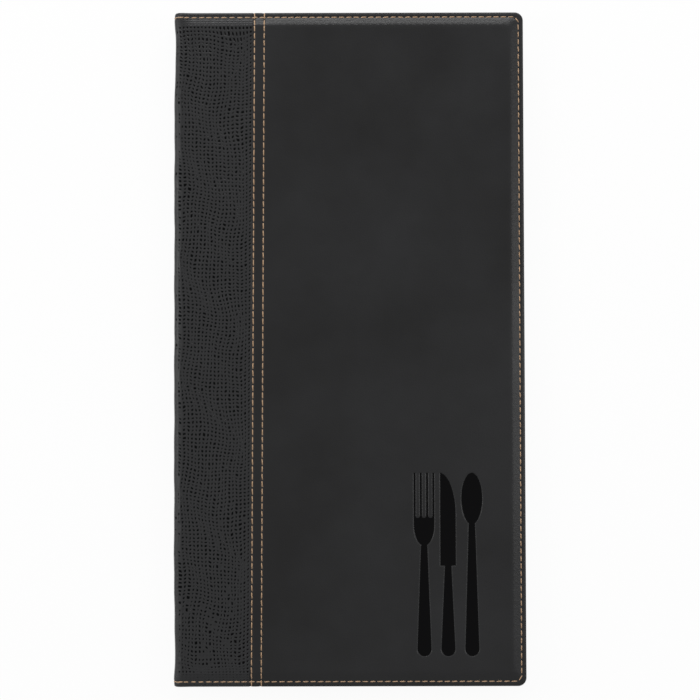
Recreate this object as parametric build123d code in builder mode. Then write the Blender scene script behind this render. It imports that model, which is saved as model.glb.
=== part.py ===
from build123d import *
import math
import os

# A stitched menu cover for tall, narrow cards. It lies closed on its back, front cover up.
# X runs from the spine to the fore edge, Y from the foot to the head of the page, Z up.
# The origin is the middle of the underside. Lengths are in millimetres.

# Closed size
cover_width = 180.0
cover_height = 346.0
closed_thickness = 16.0

# Layers of one cover, from the outside in
skin_thickness = 0.8
foam_thickness = 1.0
board_thickness = 2.0
lining_thickness = 0.6

# Sewn rim, where the skin is turned in over itself and lies lower than the padded field
corner_radius = 4.3
field_corner_radius = 3.0
rim_width = 4.3
rim_drop = 1.2
slope_run = 2.5
rim_round = 0.5
board_rim_clearance = 1.1
board_corner_radius = 2.0
foam_clearance = 0.3
lining_inset = 1.2
lining_step_clearance = 0.2

# Embossed strip round the spine, and the lap seam where the smooth panel covers its edge
strip_drop = 0.4
lap_from_spine = 39.8
flange_width = 9.0
lap_row_inset = 0.9
lap_row_spacing = 5.0

# Creases between spine and covers
crease_gap = 0.3
board_setback = 1.5
spine_board_clearance = 0.2
outline_past_spine = 20.0

# Stitches
stitch_inset = 2.5
stitch_pitch = 3.8
stitch_length = 3.0
stitch_width = 0.7
stitch_height = 0.42
groove_side_clearance = 0.15
groove_spare_depth = 0.08
first_stitch_offset = 0.8
short_stitch_length = 1.3
slope_stitch_share = 0.3

# Debossed cutlery on the front panel
motif_height = 94.0
motif_spacing = 12.2
motif_from_fore_edge = 39.8
motif_from_foot = 62.0
deboss_depth = 0.35
handle_neck_radius = 2.0
handle_end_radius = 3.9
fork_width = 11.2
fork_head_length = 38.0
tine_length = 23.0
tine_gap = 1.5
tine_spacing = 3.2
blade_width = 8.6
blade_length = 48.0
blade_tip_length = 22.0
blade_corner_radius = 1.2
spoon_width = 11.4
spoon_bowl_length = 27.0

# Insert of two clear sleeves, folded round an elastic band
sleeve_from_fore_edge = 15.25
sleeve_from_cover_ends = 18.0
sleeve_corner_radius = 4.0
film_thickness = 0.3
sleeve_gap = 0.7
weld_width = 4.0
fold_leg_length = 2.75
fold_flex_length = 0.9
notch_radius = 10.0
card_thickness = 0.4
card_corner_radius = 3.0
card_side_clearance = 1.0
card_from_weld = 0.5
card_below_head = 7.5

# Elastic band in the fold, its ends tucked under the spine lining
band_width = 3.0
band_thickness = 0.8
band_bend_radius = 1.0
band_clearance = 0.15
band_from_sleeve = 4.5
band_tail_length = 7.0
band_slot_length = 2.0
band_recess_clearance = 0.4
hinge_clearance = 0.3

# Places worked out from the sizes above
cover_thickness = skin_thickness + foam_thickness + board_thickness + lining_thickness
middle_height = closed_thickness / 2
spine_face = -cover_width / 2
fore_edge = cover_width / 2
bend_radius = cover_thickness - strip_drop
crease_x = spine_face + bend_radius
board_left = crease_x + board_setback
lap_x = spine_face + lap_from_spine
hem_thickness = 2 * skin_thickness
field_inset = rim_width + slope_run
board_inset = rim_width + board_rim_clearance
lining_step_run = board_rim_clearance - lining_step_clearance
groove_width = stitch_width + 2 * groove_side_clearance
groove_depth = stitch_height + groove_spare_depth
spine_flat = closed_thickness - 2 * cover_thickness
spine_board_width = spine_flat - 2 * spine_board_clearance
spine_board_inner = spine_face + skin_thickness + board_thickness
spine_inner = spine_board_inner + lining_thickness
spine_board_outer = spine_face + skin_thickness
leaf_thickness = 2 * film_thickness + sleeve_gap
leaf_spacing = band_width + 2 * band_clearance + film_thickness
fold_left = spine_inner + hinge_clearance
fold_right = fold_left + fold_leg_length
leaf_hinge_x = fold_right - fold_flex_length
sleeve_left = fold_right + hinge_clearance
sleeve_width = fore_edge - sleeve_from_fore_edge - sleeve_left
sleeve_height = cover_height - 2 * sleeve_from_cover_ends
sleeve_middle = sleeve_left + sleeve_width / 2
card_width = sleeve_width - 2 * (weld_width + card_side_clearance)
card_height = sleeve_height - weld_width - card_from_weld - card_below_head
band_x = fold_left + film_thickness + band_clearance + band_thickness / 2
band_tail_x = spine_board_inner - band_thickness / 2
band_turn_y = sleeve_height / 2 + band_from_sleeve


def depth_plane(side, depth):
    """Plane in a cover, at a depth below its outer face, facing into the closed book.
    side is 1 for the front cover, on top, and -1 for the back cover."""
    height = middle_height + side * (middle_height - depth)
    return Plane(origin=(0, 0, height), x_dir=(1, 0, 0), z_dir=(0, 0, -side))


def spine_plane(x):
    """Plane across the spine at its middle, its X along the cover's height, facing into the book."""
    return Plane(origin=(x, 0, middle_height), x_dir=(0, 1, 0), z_dir=(1, 0, 0))


def cover_outline(inset, radius):
    """The cover's outline, drawn in by an inset on three sides. It runs on past the spine."""
    width = cover_width + outline_past_spine - inset
    with Locations((fore_edge - inset, 0)):
        height = cover_height - 2 * inset
        RectangleRounded(width, height, radius, align=(Align.MAX, Align.CENTER))


def keep_right_of(x):
    split(bisect_by=Plane(origin=(x, 0, 0), z_dir=(1, 0, 0)), keep=Keep.TOP)


def keep_left_of(x):
    split(bisect_by=Plane(origin=(x, 0, 0), z_dir=(1, 0, 0)), keep=Keep.BOTTOM)


def raised_field(side, face_depth, sink):
    """The padded field's form from the rim up to a face; sink moves it towards the board."""
    with BuildPart() as field:
        with BuildSketch(depth_plane(side, rim_drop + sink)):
            cover_outline(rim_width, field_corner_radius)
        with BuildSketch(depth_plane(side, face_depth + sink)):
            cover_outline(field_inset, field_corner_radius)
        loft()
    return field.part


def whole_skin(side, face_depth):
    """One skin over the whole cover, with its hem doubled at the rim, before it is cut to a panel."""
    outside = raised_field(side, face_depth, 0)
    hollow = raised_field(side, face_depth, skin_thickness)
    with BuildPart() as skin:
        with BuildSketch(depth_plane(side, rim_drop)):
            cover_outline(0, corner_radius)
        extrude(amount=hem_thickness)
        fillet(skin.edges().filter_by(Plane.XY), radius=rim_round)
        add(outside)
        add(hollow, mode=Mode.SUBTRACT)
        with BuildSketch(depth_plane(side, rim_drop + skin_thickness)):
            cover_outline(rim_width, field_corner_radius)
        extrude(amount=hem_thickness, mode=Mode.SUBTRACT)
    return skin.part


def panel_skin(side):
    """Smooth panel: hemmed on three sides, with two stitch grooves along its lapped edge."""
    whole = whole_skin(side, 0)
    with BuildPart() as skin:
        add(whole)
        keep_right_of(lap_x)
        with BuildSketch(depth_plane(side, 0)):
            for row in (0, 1):
                with Locations((lap_x + lap_row_inset + row * lap_row_spacing, 0)):
                    Rectangle(groove_width, cover_height)
        extrude(amount=groove_depth, mode=Mode.SUBTRACT)
    return skin


def strip_skin(side):
    """Embossed strip over one cover: its thin flange runs on under the smooth panel."""
    flange_height = cover_height - 2 * (field_inset + foam_clearance)
    whole = whole_skin(side, strip_drop)
    with BuildPart() as strip:
        add(whole)
        keep_left_of(lap_x)
        keep_right_of(crease_x + crease_gap)
        with BuildSketch(depth_plane(side, skin_thickness)):
            with Locations((lap_x, 0)):
                Rectangle(flange_width, flange_height, align=(Align.MIN, Align.CENTER))
        extrude(amount=strip_drop)
    return strip


def cover_foam(side):
    """Foam sheet, thinner where the strip and its flange lie over it."""
    inset = field_inset + foam_clearance
    with BuildPart() as foam:
        with BuildSketch(depth_plane(side, skin_thickness)):
            cover_outline(inset, field_corner_radius)
        extrude(amount=foam_thickness)
        with BuildSketch(depth_plane(side, skin_thickness)):
            with Locations((lap_x + flange_width + foam_clearance, 0)):
                Rectangle(cover_width, cover_height, align=(Align.MAX, Align.CENTER))
        extrude(amount=strip_drop, mode=Mode.SUBTRACT)
        keep_right_of(board_left)
    return foam


def cover_board(side):
    with BuildPart() as board:
        with BuildSketch(depth_plane(side, skin_thickness + foam_thickness)):
            cover_outline(board_inset, board_corner_radius)
        extrude(amount=board_thickness)
        keep_right_of(board_left)
    return board


def cover_lining(side):
    """Lining sheet, pressed over the board and up on to the rim."""
    rim_depth = rim_drop + hem_thickness
    face_depth = cover_thickness - lining_thickness
    with BuildPart() as lining:
        with BuildSketch(depth_plane(side, rim_depth)):
            cover_outline(lining_inset, corner_radius - lining_inset)
        extrude(amount=lining_thickness)
        for sink, mode in ((lining_thickness, Mode.ADD), (0, Mode.SUBTRACT)):
            with BuildSketch(depth_plane(side, rim_depth + sink)):
                cover_outline(rim_width, board_corner_radius)
            with BuildSketch(depth_plane(side, face_depth + sink)):
                cover_outline(rim_width + lining_step_run, board_corner_radius)
            loft(mode=mode)
        keep_right_of(board_left)
    return lining


def stitch(length):
    """One stitch, flat where it lies on the skin and arched above."""
    with BuildPart() as thread:
        with BuildSketch(Plane.XZ):
            with BuildLine():
                Line((-length / 2, 0), (length / 2, 0))
                ThreePointArc((length / 2, 0), (0, stitch_height), (-length / 2, 0))
            make_face()
        extrude(amount=stitch_width / 2, both=True)
    return thread.part


def cover_edge_stitching(side):
    """Stitches round three edges of a cover, on its outside and on its lining."""
    run = cover_height / 2 - stitch_inset
    start = crease_x + first_stitch_offset
    with BuildLine() as path:
        FilletPolyline(
            (start, run),
            (fore_edge - stitch_inset, run),
            (fore_edge - stitch_inset, -run),
            (start, -run),
            radius=corner_radius - stitch_inset,
        )
    count = round(path.wire().length / stitch_pitch)
    outer = depth_plane(side, rim_drop)
    inner = depth_plane(side, rim_drop + hem_thickness + lining_thickness)
    places = []
    for face, outward in ((outer, -outer.z_dir), (inner, inner.z_dir)):
        for n in range(count):
            share = (n + 0.5) / count
            point = path.wire() @ share
            if face is inner and point.X < board_left + stitch_length:
                continue
            on_face = Vector(point.X, point.Y, face.origin.Z)
            places.append(Plane(origin=on_face, x_dir=path.wire() % share, z_dir=outward))
    thread = stitch(stitch_length)
    with BuildPart() as stitches:
        with Locations(*places):
            add(thread)
    return stitches


def lap_stitching(side, row):
    """One row of stitches along the lapped edge: in its groove, on both slopes and on both rims."""
    x = lap_x + lap_row_inset + row * lap_row_spacing
    field_run = cover_height - 2 * (field_inset + stitch_length / 2)
    count = round(field_run / stitch_pitch) + 1
    outward = -depth_plane(side, 0).z_dir
    groove_z = depth_plane(side, groove_depth).origin.Z
    rim_z = depth_plane(side, rim_drop).origin.Z
    slope_z = depth_plane(side, rim_drop * (1 - slope_stitch_share)).origin.Z
    slope_y = cover_height / 2 - rim_width - slope_stitch_share * slope_run
    long_places = []
    for n in range(count):
        y = field_run * (n / (count - 1) - 0.5)
        long_places.append(Plane(origin=(x, y, groove_z), x_dir=(0, 1, 0), z_dir=outward))
    short_places = []
    for end in (-1, 1):
        rim_y = end * (cover_height / 2 - stitch_inset / 2)
        short_places.append(Plane(origin=(x, rim_y, rim_z), x_dir=(0, 1, 0), z_dir=outward))
        downhill = Vector(0, end * slope_run, -side * rim_drop)
        uphill_normal = Vector(0, end * rim_drop, side * slope_run)
        on_slope = Vector(x, end * slope_y, slope_z)
        short_places.append(Plane(origin=on_slope, x_dir=downhill, z_dir=uphill_normal))
    long_thread = stitch(stitch_length)
    short_thread = stitch(short_stitch_length)
    with BuildPart() as stitches:
        with Locations(*long_places):
            add(long_thread)
        with Locations(*short_places):
            add(short_thread)
    return stitches


def handle_outline(top):
    """Tapered handle of one piece of cutlery, from its foot up to its neck."""
    foot = -motif_height / 2
    with BuildSketch(mode=Mode.PRIVATE) as handle:
        with Locations((0, top)):
            Circle(handle_neck_radius)
        with Locations((0, foot + handle_end_radius)):
            Circle(handle_end_radius)
        make_hull()
    add(handle.sketch)


def fork_outline():
    top = motif_height / 2
    neck = top - fork_head_length
    handle_outline(neck)
    with BuildSketch(mode=Mode.PRIVATE) as head:
        with Locations((0, neck + fork_width)):
            Ellipse(fork_width / 2, fork_width)
        with Locations((0, top)):
            Rectangle(fork_width, fork_head_length - fork_width, align=(Align.CENTER, Align.MAX))
        for n in (-1, 0, 1):
            with Locations((n * tine_spacing, top - tine_length + tine_gap / 2)):
                Circle(tine_gap / 2, mode=Mode.SUBTRACT)
                gap_align = (Align.CENTER, Align.MIN)
                Rectangle(tine_gap, tine_length, align=gap_align, mode=Mode.SUBTRACT)
    add(head.sketch)


def knife_outline():
    top = motif_height / 2
    foot = top - blade_length
    back = -blade_width / 2
    belly = blade_width / 2
    tip_foot = top - blade_tip_length
    handle_outline(foot)
    with BuildSketch(mode=Mode.PRIVATE) as blade:
        with BuildLine():
            Line((back, foot), (back, top))
            EllipticalCenterArc((back, tip_foot), blade_width, blade_tip_length, arc_size=90)
            Line((belly, tip_foot), (belly, foot))
            Line((belly, foot), (back, foot))
        make_face()
        fillet(blade.vertices().group_by(Axis.Y)[0], radius=blade_corner_radius)
    add(blade.sketch)


def spoon_outline():
    top = motif_height / 2
    handle_outline(top - spoon_bowl_length)
    with Locations((0, top - spoon_bowl_length / 2)):
        Ellipse(spoon_width / 2, spoon_bowl_length / 2)


def front_panel_skin():
    """Front panel with the cutlery pressed into it."""
    motif_x = fore_edge - motif_from_fore_edge
    motif_y = -cover_height / 2 + motif_from_foot
    plain = panel_skin(1).part
    with BuildPart() as skin:
        add(plain)
        for n, outline in ((-1, fork_outline), (0, knife_outline), (1, spoon_outline)):
            place = Plane(origin=(motif_x + n * motif_spacing, motif_y, closed_thickness))
            with BuildSketch(place):
                outline()
            extrude(amount=-deboss_depth, mode=Mode.SUBTRACT)
    return skin


def spine_strip():
    """Embossed strip round the spine and both creases, its hem doubled and stitched at both ends."""
    top = closed_thickness - strip_drop
    with BuildPart() as strip:
        for inner_radius, length, mode in (
            (bend_radius - hem_thickness, cover_height, Mode.ADD),
            (bend_radius - hem_thickness, cover_height - 2 * rim_width, Mode.SUBTRACT),
            (bend_radius - skin_thickness, cover_height - 2 * rim_width, Mode.ADD),
        ):
            with BuildSketch(Plane.XZ):
                with BuildLine():
                    CenterArc((crease_x, top - bend_radius), bend_radius, 90, 90)
                    Line((spine_face, top - bend_radius), (spine_face, strip_drop + bend_radius))
                    CenterArc((crease_x, strip_drop + bend_radius), bend_radius, 180, 90)
                    Line((crease_x, strip_drop), (crease_x, strip_drop + bend_radius - inner_radius))
                    CenterArc((crease_x, strip_drop + bend_radius), inner_radius, 180, 90)
                    Line(
                        (crease_x - inner_radius, strip_drop + bend_radius),
                        (crease_x - inner_radius, top - bend_radius),
                    )
                    CenterArc((crease_x, top - bend_radius), inner_radius, 90, 90)
                    Line((crease_x, top - bend_radius + inner_radius), (crease_x, top))
                make_face()
            extrude(amount=length / 2, both=True, mode=mode)
        with BuildSketch(spine_plane(spine_face)):
            for end in (-1, 1):
                with Locations((end * (cover_height / 2 - stitch_inset), 0)):
                    Rectangle(groove_width, spine_flat)
        extrude(amount=groove_depth, mode=Mode.SUBTRACT)
    return strip


def spine_board():
    """Stiffener in the spine, recessed on its inner face for the ends of the elastic band."""
    recess_start = band_turn_y - band_thickness / 2 - band_recess_clearance
    recess_end = band_turn_y + band_tail_length + band_recess_clearance
    with BuildPart() as board:
        with BuildSketch(spine_plane(spine_board_outer)):
            Rectangle(cover_height - 2 * board_inset, spine_board_width)
        extrude(amount=board_thickness)
        with BuildSketch(spine_plane(spine_board_inner)):
            for end in (-1, 1):
                with Locations((end * (recess_start + recess_end) / 2, 0)):
                    length = recess_end - recess_start
                    Rectangle(length, band_width + 2 * band_recess_clearance)
        extrude(amount=-band_thickness, mode=Mode.SUBTRACT)
    return board


def spine_lining():
    """Lining over the spine board and down on to the hems, slotted for the elastic band."""
    end_y = cover_height / 2 - lining_inset
    rim_y = cover_height / 2 - rim_width
    board_y = rim_y - lining_step_run
    rim_x = spine_face + hem_thickness
    slot_start = band_turn_y - band_thickness / 2 - band_clearance
    with BuildPart() as lining:
        with BuildSketch(Plane.XY.offset(middle_height)):
            with BuildLine():
                Polyline(
                    (rim_x, end_y),
                    (rim_x, rim_y),
                    (spine_board_inner, board_y),
                    (spine_board_inner, -board_y),
                    (rim_x, -rim_y),
                    (rim_x, -end_y),
                    (rim_x + lining_thickness, -end_y),
                    (rim_x + lining_thickness, -rim_y),
                    (spine_inner, -board_y),
                    (spine_inner, board_y),
                    (rim_x + lining_thickness, rim_y),
                    (rim_x + lining_thickness, end_y),
                    close=True,
                )
            make_face()
        extrude(amount=spine_board_width / 2, both=True)
        with BuildSketch(spine_plane(spine_board_inner)):
            for end in (-1, 1):
                with Locations((end * (slot_start + band_slot_length / 2), 0)):
                    Rectangle(band_slot_length, band_width + 2 * band_clearance)
        extrude(amount=lining_thickness, mode=Mode.SUBTRACT)
    return lining


def spine_edge_stitching():
    """Stitches across the spine's hem at head and foot, in their grooves."""
    count = round(spine_flat / stitch_pitch)
    x = spine_face + groove_depth
    places = []
    for end in (-1, 1):
        y = end * (cover_height / 2 - stitch_inset)
        for n in range(count):
            z = middle_height + (n - (count - 1) / 2) * stitch_pitch
            places.append(Plane(origin=(x, y, z), x_dir=(0, 0, 1), z_dir=(-1, 0, 0)))
    thread = stitch(stitch_length)
    with BuildPart() as stitches:
        with Locations(*places):
            add(thread)
    return stitches


def elastic_band():
    """Flat elastic band: straight along the fold, then back through the lining at both ends."""
    tail_y = band_turn_y + band_tail_length
    with BuildPart() as band:
        with BuildLine(Plane.XY.offset(middle_height)) as route:
            FilletPolyline(
                (band_tail_x, -tail_y),
                (band_tail_x, -band_turn_y),
                (band_x, -band_turn_y),
                (band_x, band_turn_y),
                (band_tail_x, band_turn_y),
                (band_tail_x, tail_y),
                radius=band_bend_radius,
            )
        start = Plane(origin=route.wire() @ 0, x_dir=(0, 0, 1), z_dir=route.wire() % 0)
        with BuildSketch(start):
            Rectangle(band_width, band_thickness)
        sweep()
    return band


def insert_fold():
    """The insert's fold, a channel of film behind the band that carries both sleeves."""
    height = leaf_spacing + film_thickness
    with BuildPart() as fold:
        with BuildSketch(Plane.XZ):
            with Locations((fold_left, middle_height)):
                Rectangle(fold_leg_length, height, align=(Align.MIN, Align.CENTER))
            with Locations((fold_left + film_thickness, middle_height)):
                Rectangle(
                    fold_leg_length,
                    height - 2 * film_thickness,
                    align=(Align.MIN, Align.CENTER),
                    mode=Mode.SUBTRACT,
                )
        extrude(amount=sleeve_height / 2, both=True)
    return fold


def leaf_z(side, depth):
    """Height in a leaf, at a depth below the face that looks at its cover."""
    return middle_height + side * (leaf_spacing / 2 + leaf_thickness / 2 - depth)


def sleeve_outline():
    with Locations((sleeve_middle, 0)):
        RectangleRounded(sleeve_width, sleeve_height, sleeve_corner_radius)


def sleeve_back(side):
    """Cover-side film of a sleeve, with the weld that runs round three edges. The head is open."""
    with BuildPart() as film:
        with BuildSketch(Plane.XY.offset(leaf_z(side, 0))):
            sleeve_outline()
        extrude(amount=-side * film_thickness)
        with BuildSketch(Plane.XY.offset(leaf_z(side, film_thickness))):
            sleeve_outline()
            with Locations((sleeve_middle, sleeve_height / 2)):
                width = sleeve_width - 2 * weld_width
                height = sleeve_height - weld_width
                Rectangle(width, 2 * height, mode=Mode.SUBTRACT)
        extrude(amount=-side * sleeve_gap)
    return film


def sleeve_window(side):
    """Clear film over the card, with a thumb notch at the open head."""
    with BuildPart() as film:
        with BuildSketch(Plane.XY.offset(leaf_z(side, film_thickness + sleeve_gap))):
            sleeve_outline()
            with Locations((sleeve_middle, sleeve_height / 2)):
                Circle(notch_radius, mode=Mode.SUBTRACT)
        extrude(amount=-side * film_thickness)
    return film


def menu_card(side):
    """Blank card, centred in the thickness of its sleeve and resting near the foot weld."""
    depth = film_thickness + (sleeve_gap - card_thickness) / 2
    card_foot = -sleeve_height / 2 + weld_width + card_from_weld
    with BuildPart() as card:
        with BuildSketch(Plane.XY.offset(leaf_z(side, depth))):
            with Locations((sleeve_middle, card_foot + card_height / 2)):
                RectangleRounded(card_width, card_height, card_corner_radius)
        extrude(amount=-side * card_thickness)
    return card


os.makedirs("parts", exist_ok=True)


def save(piece, name):
    piece.part.label = name
    export_step(piece.part, f"parts/{name}.step")


for name, side in (("front", 1), ("back", -1)):
    save(front_panel_skin() if side > 0 else panel_skin(side), f"{name}_panel_skin")
    save(strip_skin(side), f"spine_strip_{name}")
    save(cover_foam(side), f"{name}_foam")
    save(cover_board(side), f"{name}_board")
    save(cover_lining(side), f"{name}_lining")
    save(cover_edge_stitching(side), f"{name}_edge_stitching")
    save(lap_stitching(side, 0), f"{name}_lap_stitching_edge_row")
    save(lap_stitching(side, 1), f"{name}_lap_stitching_inner_row")

save(spine_strip(), "spine_strip_middle")
save(spine_board(), "spine_board")
save(spine_lining(), "spine_lining")
save(spine_edge_stitching(), "spine_edge_stitching")
save(elastic_band(), "elastic_band")
save(insert_fold(), "insert_fold")

# Open, the upper leaf lies on the left and the lower leaf on the right.
for name, side in (("left", 1), ("right", -1)):
    save(sleeve_back(side), f"{name}_sleeve_back")
    save(sleeve_window(side), f"{name}_sleeve_window")
    save(menu_card(side), f"{name}_menu_card")

crease_offset = (1 - math.pi / 4) * bend_radius
print("hinge x of both creases:", round(spine_face + crease_offset, 4))
print("back crease z:", round(strip_drop + crease_offset, 4))
print("front crease z:", round(closed_thickness - strip_drop - crease_offset, 4))
print("leaf hinge x:", round(leaf_hinge_x, 4))
print("left leaf hinge z:", round(middle_height + leaf_spacing / 2, 4))
print("right leaf hinge z:", round(middle_height - leaf_spacing / 2, 4))
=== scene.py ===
import math

import bpy
import numpy as np
from mathutils import Matrix, Vector


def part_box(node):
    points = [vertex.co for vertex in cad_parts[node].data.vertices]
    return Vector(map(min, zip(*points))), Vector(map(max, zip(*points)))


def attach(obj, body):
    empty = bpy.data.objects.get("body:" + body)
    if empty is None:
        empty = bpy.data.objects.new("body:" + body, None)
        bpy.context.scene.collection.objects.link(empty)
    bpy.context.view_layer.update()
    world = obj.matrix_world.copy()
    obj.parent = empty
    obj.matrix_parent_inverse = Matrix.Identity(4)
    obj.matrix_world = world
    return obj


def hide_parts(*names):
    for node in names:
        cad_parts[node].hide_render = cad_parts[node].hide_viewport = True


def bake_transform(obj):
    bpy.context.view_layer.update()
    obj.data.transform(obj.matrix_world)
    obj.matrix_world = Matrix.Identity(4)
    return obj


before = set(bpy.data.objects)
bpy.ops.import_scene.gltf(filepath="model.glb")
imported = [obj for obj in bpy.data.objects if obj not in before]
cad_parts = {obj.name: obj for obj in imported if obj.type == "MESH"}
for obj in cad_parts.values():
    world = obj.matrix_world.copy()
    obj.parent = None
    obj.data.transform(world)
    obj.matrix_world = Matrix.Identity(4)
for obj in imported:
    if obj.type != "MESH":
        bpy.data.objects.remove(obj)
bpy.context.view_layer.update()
print("frame loaded:", len(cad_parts), "nodes")

# Pieces are modelled in millimetres and brought to metres when they are finished.
mm = 0.001


def lowCorner(node):
    return [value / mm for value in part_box(node)[0]]


def highCorner(node):
    return [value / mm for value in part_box(node)[1]]


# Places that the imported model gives
foreEdge = highCorner("front_panel_skin")[0]
headEdge = highCorner("front_panel_skin")[1]
bookTop = highCorner("front_panel_skin")[2]
lapX = lowCorner("front_panel_skin")[0]
flangeX = highCorner("spine_strip_front")[0]
stripTop = highCorner("spine_strip_front")[2]
spineX = lowCorner("spine_strip_middle")[0]
creaseX = highCorner("spine_strip_middle")[0]
middleZ = bookTop / 2
bendRadius = creaseX - spineX
bendZ = stripTop - bendRadius  # middle of the front crease's bend
spineHalf = stripTop - bendRadius - middleZ  # half the flat of the spine
creaseRun = math.pi / 2 * bendRadius
creaseEnd = spineHalf + creaseRun  # along the strip from the middle of the spine
stripLap = creaseEnd + lapX - creaseX  # where the strip goes under the smooth panel

cover = {
    "rimWidth": 4.3,
    "rimDrop": 1.2,
    "slopeRun": 2.5,
    "slopeStart": 3.1,  # inset at which the skin begins to rise, just inside the stitches
    "slopeEase": 0.25,  # share of the slope that is eased at its ends
    "crown": 0.25,  # how far the rim falls from the stitches to the edge
    "crownInset": (2.6, 0.8),  # where that fall begins and ends
    "hemLap": 3.5,  # how far the turned-in hem runs back from the edge
    "skin": 0.7,
    "edgeRound": 0.8,
    "cornerRadius": 4.3,
    "fieldCornerRadius": 3.0,
    "cornerFade": 12.0,  # ring length over which a round corner settles into its straights
    "seamLean": 0.9,  # how far the lapped seam leans towards the fore edge at the head
    "leanRise": (-18, -3),  # where the lean sets in, from the lap's edge
    "leanFall": (12, 30),  # and where it fades
    "lapRound": 0.28,  # how far the lap's cut edge is rounded over
    "lapRoundRun": 0.45,
    "lapLines": (0, 0.45, 0.9, 1.8, 5.0, 5.9, 6.8, 9.2),  # grid lines along the lap's stitches
    "rimLines": (1.9, 3.1),  # grid lines along the edge stitches
    "swell": 0.045,  # unevenness of the padding
    "gridStep": 3.8,
}
stitching = {
    "inset": 2.5,
    "pitch": 3.8,
    "length": 3.3,
    "width": 0.62,
    "height": 0.54,
    "lapRows": (0.9, 5.9),
    "lapEnds": (5.35, 1.75),  # places of the lap stitches on the rim, from the head
    "spineRuns": (1.75, 5.3, 8.9),  # places of the spine stitches, from its middle
    "edgeLift": -0.32,  # a thread's middle against the skin
    "lapLift": -0.16,
    "channelWidth": 0.62,
    "channelDepth": 0.16,
    "holeDepth": 0.20,  # what the channel gains at a hole
    "firstOffset": 0.8,
    "cuts": (0.42, -0.42, 0.22, -0.22, 0),  # rings along a stitch, as shares of its length
    "thinning": 0.45,  # of its ends
    "arch": 0.13,  # how high its middle stands, and how far its ends dip below that
    "dip": 0.42,
    "twists": 5,  # of the thread's plies in one stitch
    "slant": 3.0,  # how far a stitch may stray from the common slant, in degrees
    "commonSlant": 2.0,
    "seed": 5,
}
fieldInset = cover["rimWidth"] + cover["slopeRun"]
slopeMiddle = (cover["rimWidth"] + fieldInset) / 2


def deselectAll():
    bpy.ops.object.select_all(action="DESELECT")


def activate(piece):
    deselectAll()
    piece.select_set(True)
    bpy.context.view_layer.objects.active = piece


def smoothStep(value, start, end):
    share = np.clip((value - start) / (end - start), 0, 1)
    return share * share * (3 - 2 * share)


# Rises over one span of a value and falls over another.
def hump(value, rise, fall):
    return smoothStep(value, *rise) * (1 - smoothStep(value, *fall))


# Both values of a profile's corners, at fractional places along it.
def alongProfile(profile, index):
    order = range(len(profile))
    return [np.interp(index, order, values) for values in zip(*profile)]


def readAll(items, attribute):
    values = np.empty(len(items) * 3)
    items.foreach_get(attribute, values)
    return values.reshape(-1, 3)


def getPoints(piece):
    return readAll(piece.data.vertices, "co")


def faceCentres(piece):
    return readAll(piece.data.polygons, "center")


def setPoints(piece, points):
    piece.data.vertices.foreach_set("co", np.asarray(points, float).ravel())
    piece.data.update()


# Stores one number for each vertex, for a material to read.
def storeOnPoints(piece, name, values):
    attribute = piece.data.attributes.new(name, "FLOAT", "POINT")
    attribute.data.foreach_set("value", values.astype(np.float32))


def everyFace(piece):
    return np.ones(len(piece.data.polygons), bool)


# Runs edit-mode operators on the chosen faces.
def editFaces(piece, chosen, *steps):
    mesh = piece.data
    mesh.vertices.foreach_set("select", np.zeros(len(mesh.vertices), bool))
    mesh.edges.foreach_set("select", np.zeros(len(mesh.edges), bool))
    mesh.polygons.foreach_set("select", np.asarray(chosen, bool))
    activate(piece)
    bpy.context.tool_settings.mesh_select_mode = (False, False, True)
    bpy.ops.object.mode_set(mode="EDIT")
    for step in steps:
        step()
    bpy.ops.object.mode_set(mode="OBJECT")


def selectAll():
    bpy.ops.mesh.select_all(action="SELECT")


def turnNormalsOut():
    bpy.ops.mesh.normals_make_consistent(inside=False)


def flipNormals(piece):
    editFaces(piece, everyFace(piece), bpy.ops.mesh.flip_normals)


def applyModifier(piece, modifier):
    activate(piece)
    bpy.ops.object.modifier_apply(modifier=modifier.name)


# Gives a surface its thickness: behind it with offset -1, to both sides of it with 0.
def solidify(sheet, thickness, offset):
    solid = sheet.modifiers.new("thickness", "SOLIDIFY")
    solid.thickness = thickness
    solid.offset = offset
    applyModifier(sheet, solid)


# Distance in from the nearer end, head or foot.
def endInset(y):
    return headEdge - np.abs(y)


def insetOf(x, y):
    return np.minimum(foreEdge - x, endInset(y))


# A flat grid with its lines at the given places.
def flatSheet(name, columns, rows):
    deselectAll()
    bpy.ops.mesh.primitive_grid_add(x_subdivisions=len(columns) - 1, y_subdivisions=len(rows) - 1)
    sheet = bpy.context.object
    sheet.name = name
    sheet.data.name = name
    x, y = np.meshgrid(columns, rows)
    setPoints(sheet, np.column_stack((x.ravel(), y.ravel(), np.zeros(x.size))))
    return sheet


# Lines from the foot to the head: even inside, and at the given insets from both ends.
def linesAlong(insets, step):
    half = headEdge - insets[-1]
    ends = [headEdge - inward for inward in reversed(insets[:-1])]
    return [-end for end in reversed(ends)] + evenly(-half, half, step) + ends


# Extrudes a flat sheet downwards into a closed slab, its top face at height 0.
def thicken(sheet, thickness):
    down = {"value": (0, 0, -thickness)}
    editFaces(
        sheet,
        everyFace(sheet),
        lambda: bpy.ops.mesh.extrude_region_move(TRANSFORM_OT_translate=down),
        selectAll,
        turnNormalsOut,
    )


topLevel = -0.01  # whatever lies higher in a flat slab belongs to its top face


def topFaces(sheet):
    return faceCentres(sheet)[:, 2] > topLevel


def evenly(start, end, step):
    count = max(1, round(abs(end - start) / step))
    return list(np.linspace(start, end, count + 1))


# Lines on both sides of a middle line, from those on one side.
def bothSides(side):
    return [-place for place in reversed(side)] + [0] + side


# Marks faces for the piece's second finish.
def useSecondFinish(piece, chosen):
    piece.data.polygons.foreach_set("material_index", np.asarray(chosen, np.int32))


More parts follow.
